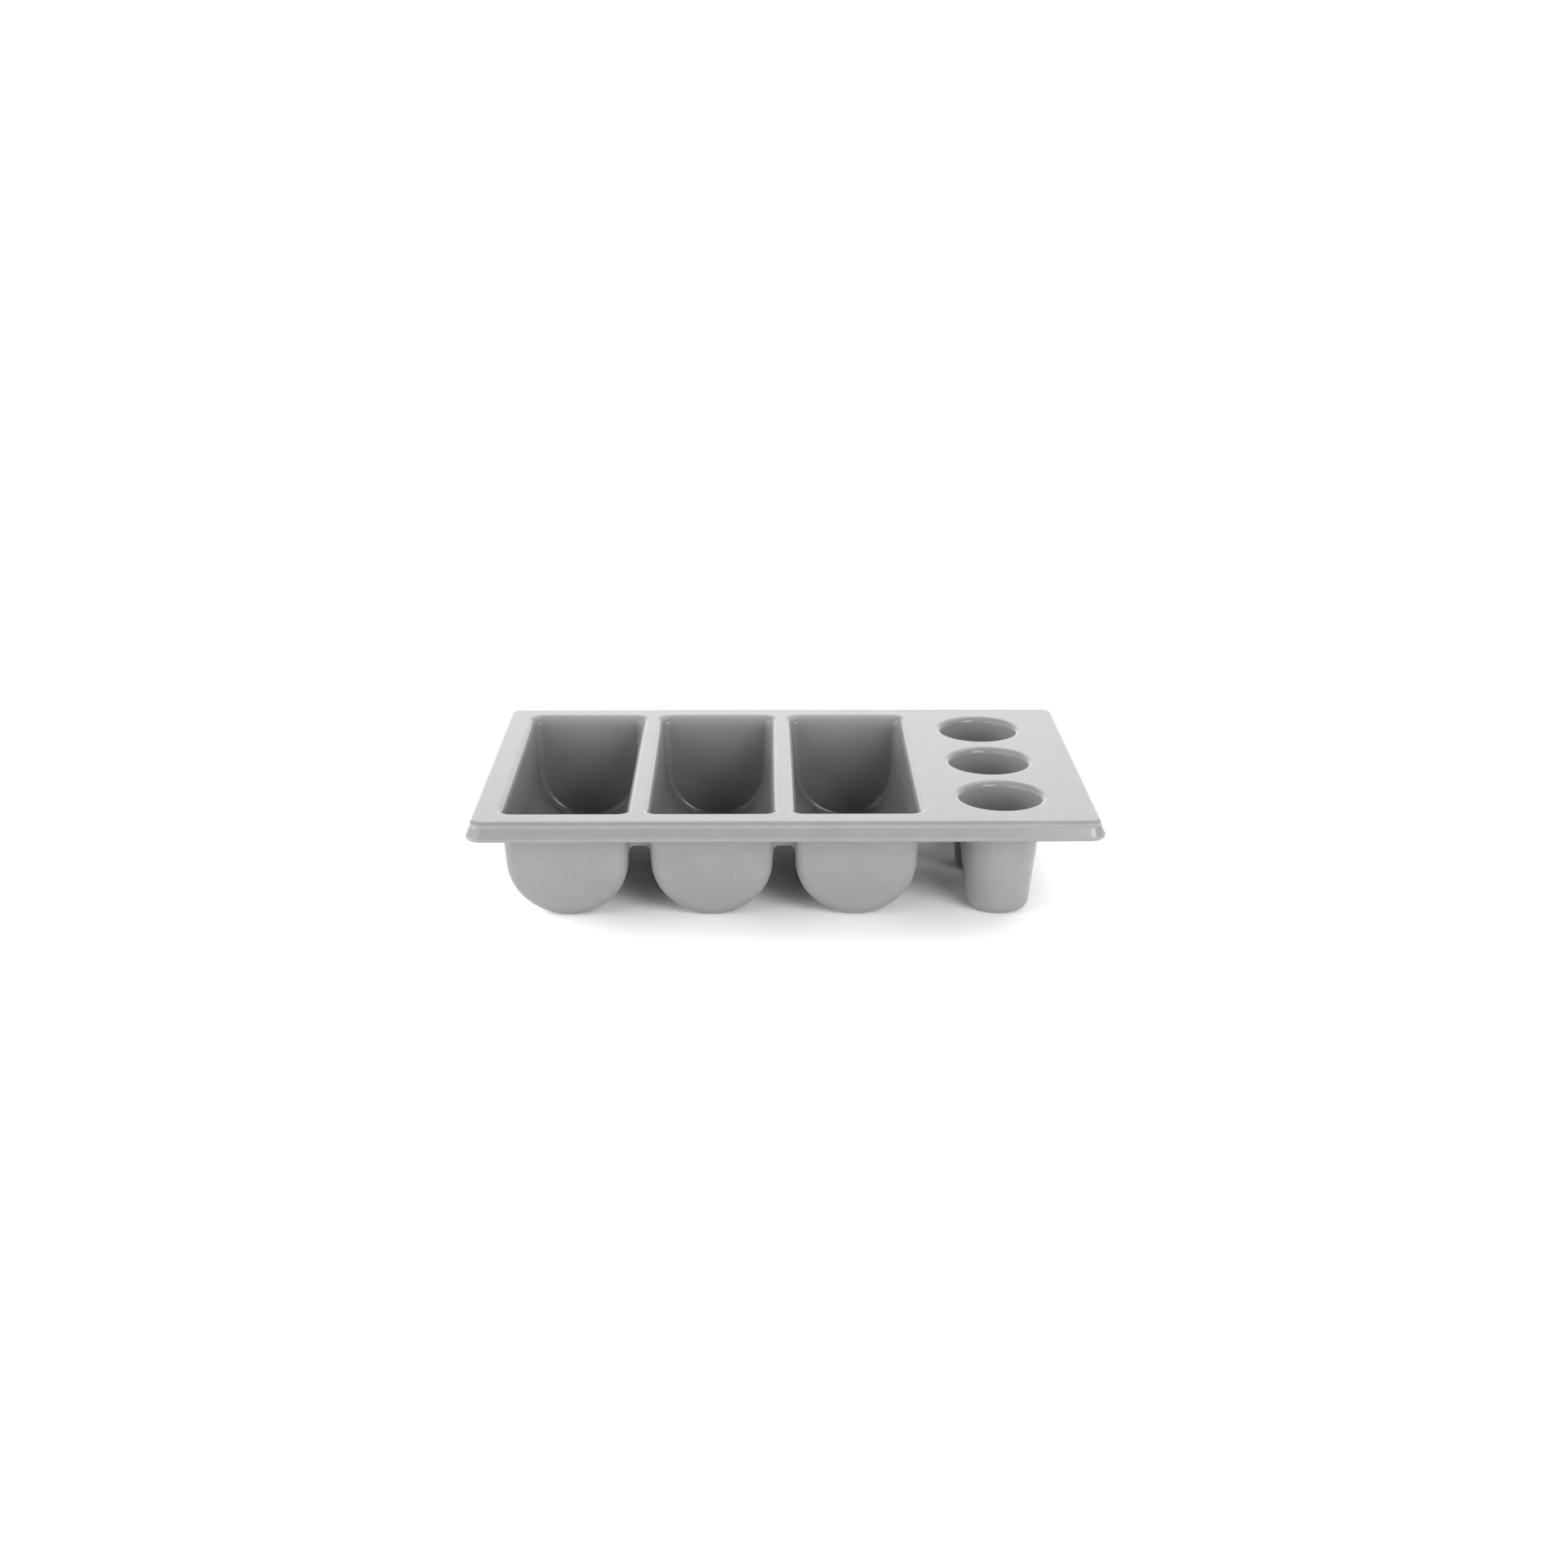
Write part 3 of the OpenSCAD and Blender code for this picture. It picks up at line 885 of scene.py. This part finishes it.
# Keeps the division by the level part of a direction sound straight above
LEAST_LEVEL = 0.001
WHITE = (1.0, 1.0, 1.0, 1.0)


def light_way(azimuth, height):
    """Direction from the tray to a light, from its angles in degrees."""
    turn, rise = math.radians(azimuth), math.radians(height)
    level = math.cos(rise)
    return Vector((level * math.sin(turn), -level * math.cos(turn), math.sin(rise)))


def soft_box(name, mirrored, share, azimuth, height, width, rise, brightness):
    """A rectangular soft box that faces the tray."""
    way = light_way(azimuth, height)
    data = bpy.data.lights.new(name, "AREA")
    data.shape = "RECTANGLE"
    data.size = 2 * BOX_FAR * math.tan(math.radians(width) / 2)
    data.size_y = 2 * BOX_FAR * math.tan(math.radians(rise) / 2)
    # Power of a matt face of that brightness
    data.energy = math.pi * data.size * data.size_y * brightness * share
    box = bpy.data.objects.new(name, data)
    box.location = BOX_FAR * way
    box.rotation_euler = (-way).to_track_quat("-Z", "Y").to_euler()
    box.visible_camera = False
    box.visible_glossy = mirrored
    bpy.context.scene.collection.objects.link(box)


def studio_room(studio):
    """A room with a bright backdrop behind the box, a pale horizon and soft glows on its walls."""
    world = bpy.data.worlds.new("studio room")
    bpy.context.scene.world = world
    n = Nodes(world)
    way = n.add("ShaderNodeTexCoord").outputs["Generated"]
    split = n.add("ShaderNodeSeparateXYZ", Vector=way)
    level = n.math("SUBTRACT", 1.0, n.math("POWER", split.outputs["Z"], 2.0))
    depth = n.math("POWER", n.math("MAXIMUM", split.outputs["Y"], 0.0), 2.0)
    behind = n.math("DIVIDE", depth, n.math("MAXIMUM", level, LEAST_LEVEL))
    low = n.band(split.outputs["Z"], *BACKDROP_TOP, studio.backdrop, 0.0)
    horizon = n.band(split.outputs["Z"], *HORIZON_TOP, studio.horizon, 0.0)
    strength = n.math("ADD", n.math("MULTIPLY", behind, low), horizon)
    for glow in GLOWS:
        near = n.dot(way, light_way(glow["azimuth"], glow["height"]))
        near = n.math("POWER", n.math("MAXIMUM", near, 0.0), GLOW_POWER)
        lit = n.math("MULTIPLY", near, glow["brightness"] * studio.glow)
        strength = n.math("ADD", strength, lit)
    sky = n.add("ShaderNodeBackground", Color=WHITE, Strength=strength)
    n.add("ShaderNodeOutputWorld", Surface=sky.outputs["Background"])


# Width of the camera's sensor in millimetres, and its nearest and farthest view in metres
SENSOR_WIDTH = 36.0
CLIP = (0.05, 300.0)


def photo_camera(studio):
    """The camera at the height and angle of a tabletop product view."""
    data = bpy.data.cameras.new("camera")
    data.lens = studio.lens
    data.sensor_width = SENSOR_WIDTH
    data.clip_start, data.clip_end = CLIP
    camera = bpy.data.objects.new("camera", data)
    bpy.context.scene.collection.objects.link(camera)
    bpy.context.scene.camera = camera
    level = math.cos(studio.down)
    ahead = Vector((math.sin(studio.yaw) * level, math.cos(studio.yaw) * level,
                    -math.sin(studio.down)))
    right = Vector((math.cos(studio.yaw), -math.sin(studio.yaw), 0.0))
    above = right.cross(ahead)
    cos, sin = math.cos(studio.roll), math.sin(studio.roll)
    across = cos * right + sin * above
    upright = cos * above - sin * right
    turn = Matrix((across, upright, -ahead)).transposed()
    camera.matrix_world = Matrix.Translation(studio.eye) @ turn.to_4x4()


class TRAY_OT_studio(bpy.types.Operator):
    """Lays the floor, sets the lights and places the camera"""

    bl_idname = "tray.studio"
    bl_label = "Studio"
    bl_options = {"REGISTER"}

    def execute(self, context):
        studio = context.scene.tray_studio
        context.scene.view_settings.view_transform = "Standard"
        floor_sheet(studio)
        studio_room(studio)
        photo_camera(studio)
        for boxes, mirrored in ((KEY_BOXES, True), (FILL_BOXES, False)):
            for name, box in boxes.items():
                soft_box(name, mirrored, studio.boxes, **box)
        return {"FINISHED"}


BUILDERS = (TRAY_OT_deck, TRAY_OT_rim, TRAY_OT_troughs, TRAY_OT_cups, TRAY_OT_webs, TRAY_OT_studio)
GROUPS = {
    "tray_sizes": TRAY_PG_sizes,
    "tray_plastic": TRAY_PG_plastic,
    "tray_studio": TRAY_PG_studio,
}


class TRAY_PT_panel(bpy.types.Panel):
    """Sizes, looks and builders of the cutlery box"""

    bl_idname = "TRAY_PT_panel"
    bl_label = "Cutlery box"
    bl_space_type = "VIEW_3D"
    bl_region_type = "UI"
    bl_category = "Cutlery box"

    def draw(self, context):
        for group in GROUPS:
            box = self.layout.box()
            values = getattr(context.scene, group)
            for key in values.__annotations__:
                box.prop(values, key)
        for builder in BUILDERS:
            self.layout.operator(builder.bl_idname)


CLASSES = (*GROUPS.values(), *BUILDERS, TRAY_PT_panel)


def register():
    """Adds the classes and the settings of the scene."""
    for cls in CLASSES:
        bpy.utils.register_class(cls)
    for name, group in GROUPS.items():
        setattr(bpy.types.Scene, name, PointerProperty(type=group))


def unregister():
    """Takes the classes and the settings away again."""
    for name in GROUPS:
        delattr(bpy.types.Scene, name)
    for cls in reversed(CLASSES):
        bpy.utils.unregister_class(cls)


def main():
    """Builds the box and its studio."""
    register()
    bpy.ops.tray.deck()
    bpy.ops.tray.rim()
    bpy.ops.tray.troughs()
    bpy.ops.tray.cups()
    bpy.ops.tray.webs()
    bpy.ops.tray.studio()


if __name__ == "__main__":
    main()
